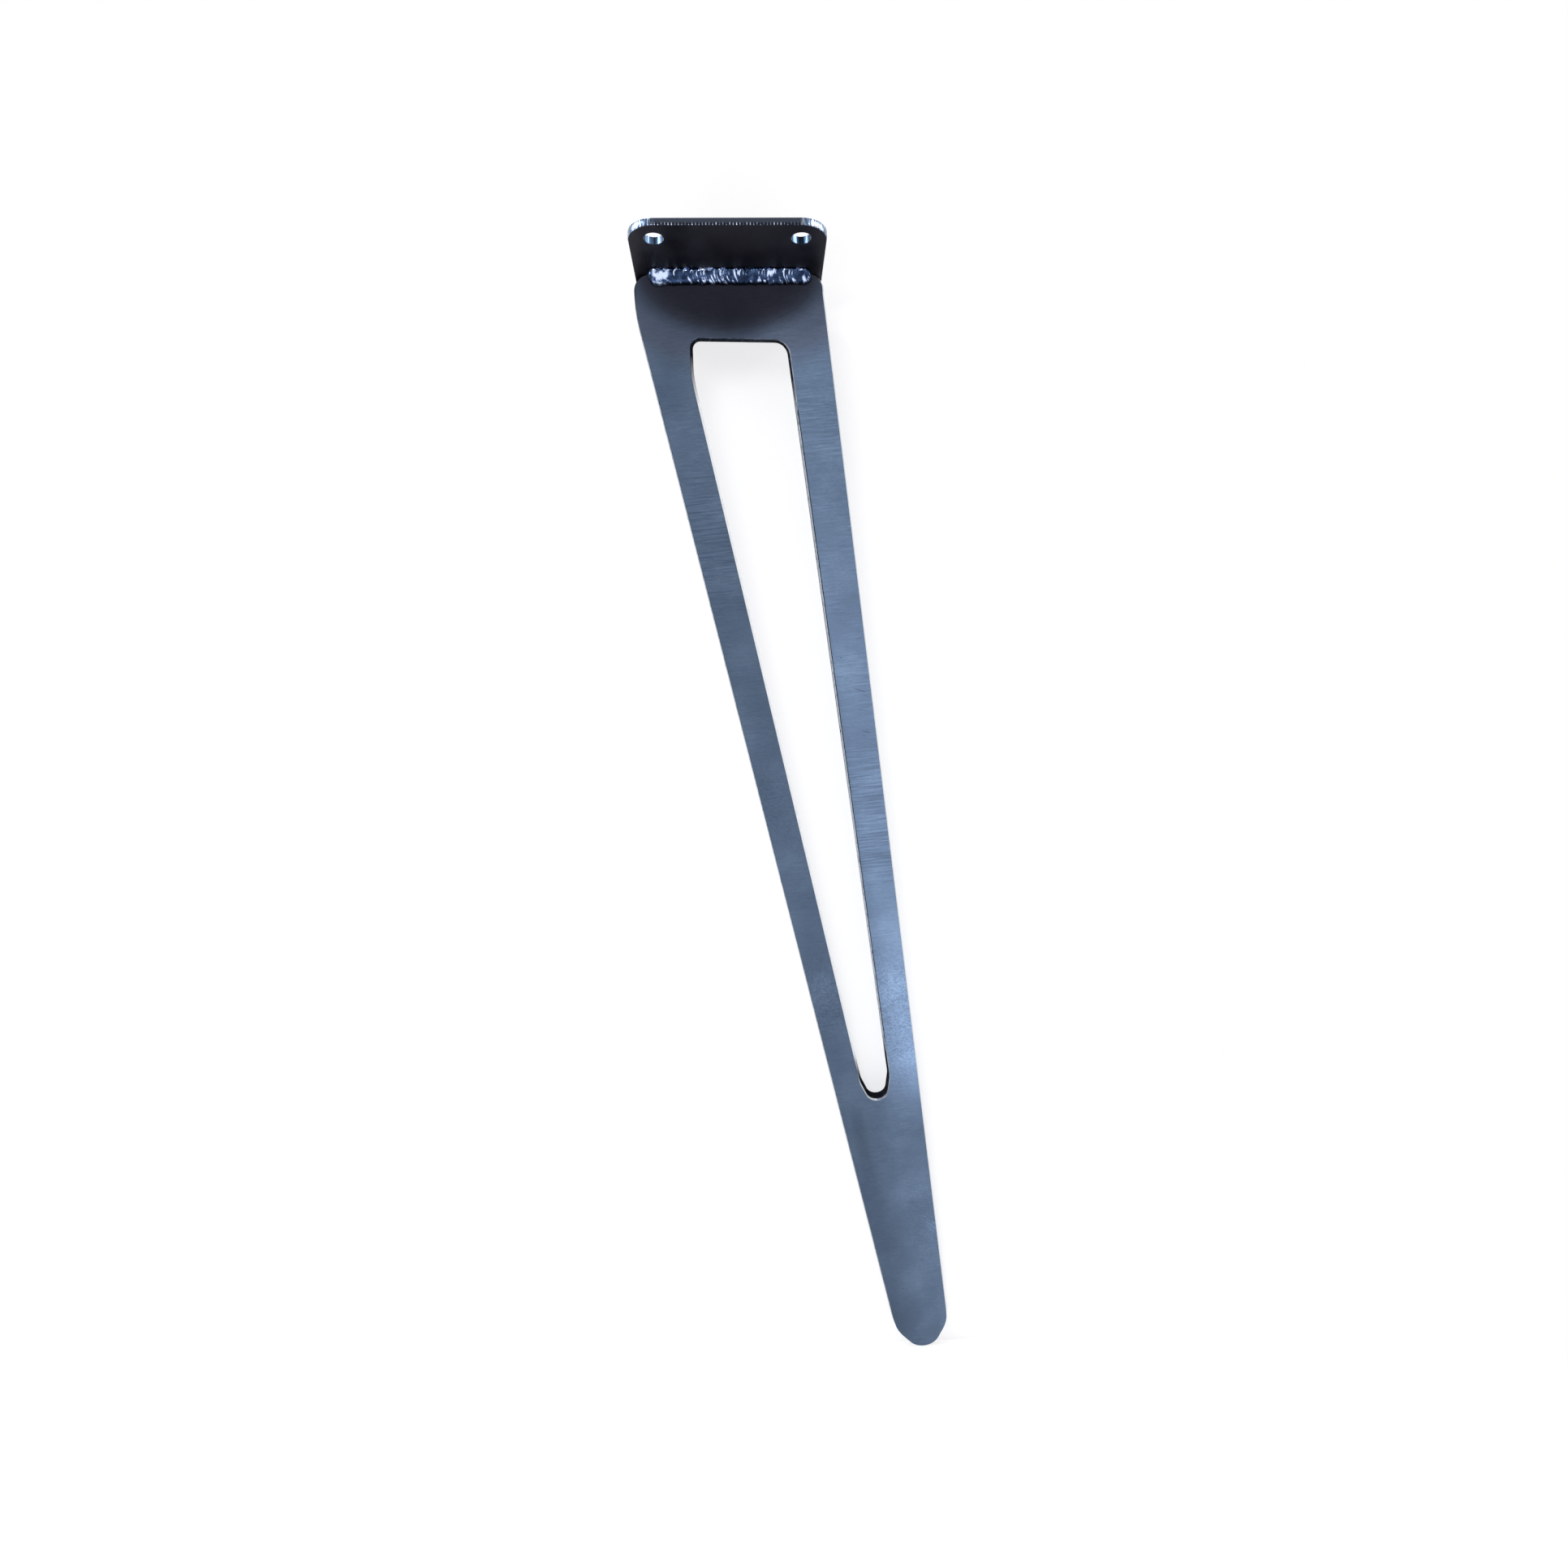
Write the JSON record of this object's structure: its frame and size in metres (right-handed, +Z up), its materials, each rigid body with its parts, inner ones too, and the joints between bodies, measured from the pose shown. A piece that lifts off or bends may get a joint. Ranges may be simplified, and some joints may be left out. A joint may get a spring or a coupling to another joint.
{
  "type": "hairpin table leg",
  "caption": "Flat steel table leg: a slotted, tapering blade that slants and leans outwards, welded to a drilled square mounting plate.",
  "frame": {"origin": "middle of the mounting plate's top face, which bears on the table's underside", "axes": "+Z up out of the plate's top face, +X to the side that the leg slants to, -Y to the front weld; the blade leans towards +Y on its way down"},
  "size_m": [0.2045, 0.3474, 0.7112],
  "materials": {
    "plate_steel": "dark mill scale, bright thermally cut edges",
    "blade_steel": "bare blue-grey plate steel, finely sanded along and across",
    "weld_metal": "as-welded rippled bead, glossy blue-black"
  },
  "bodies": {
    "root": {"mounting_plate": "plate_steel", "leg_blade": "blade_steel", "weld_bead_front": "weld_metal", "weld_bead_rear": "weld_metal"}
  },
  "joints": []
}
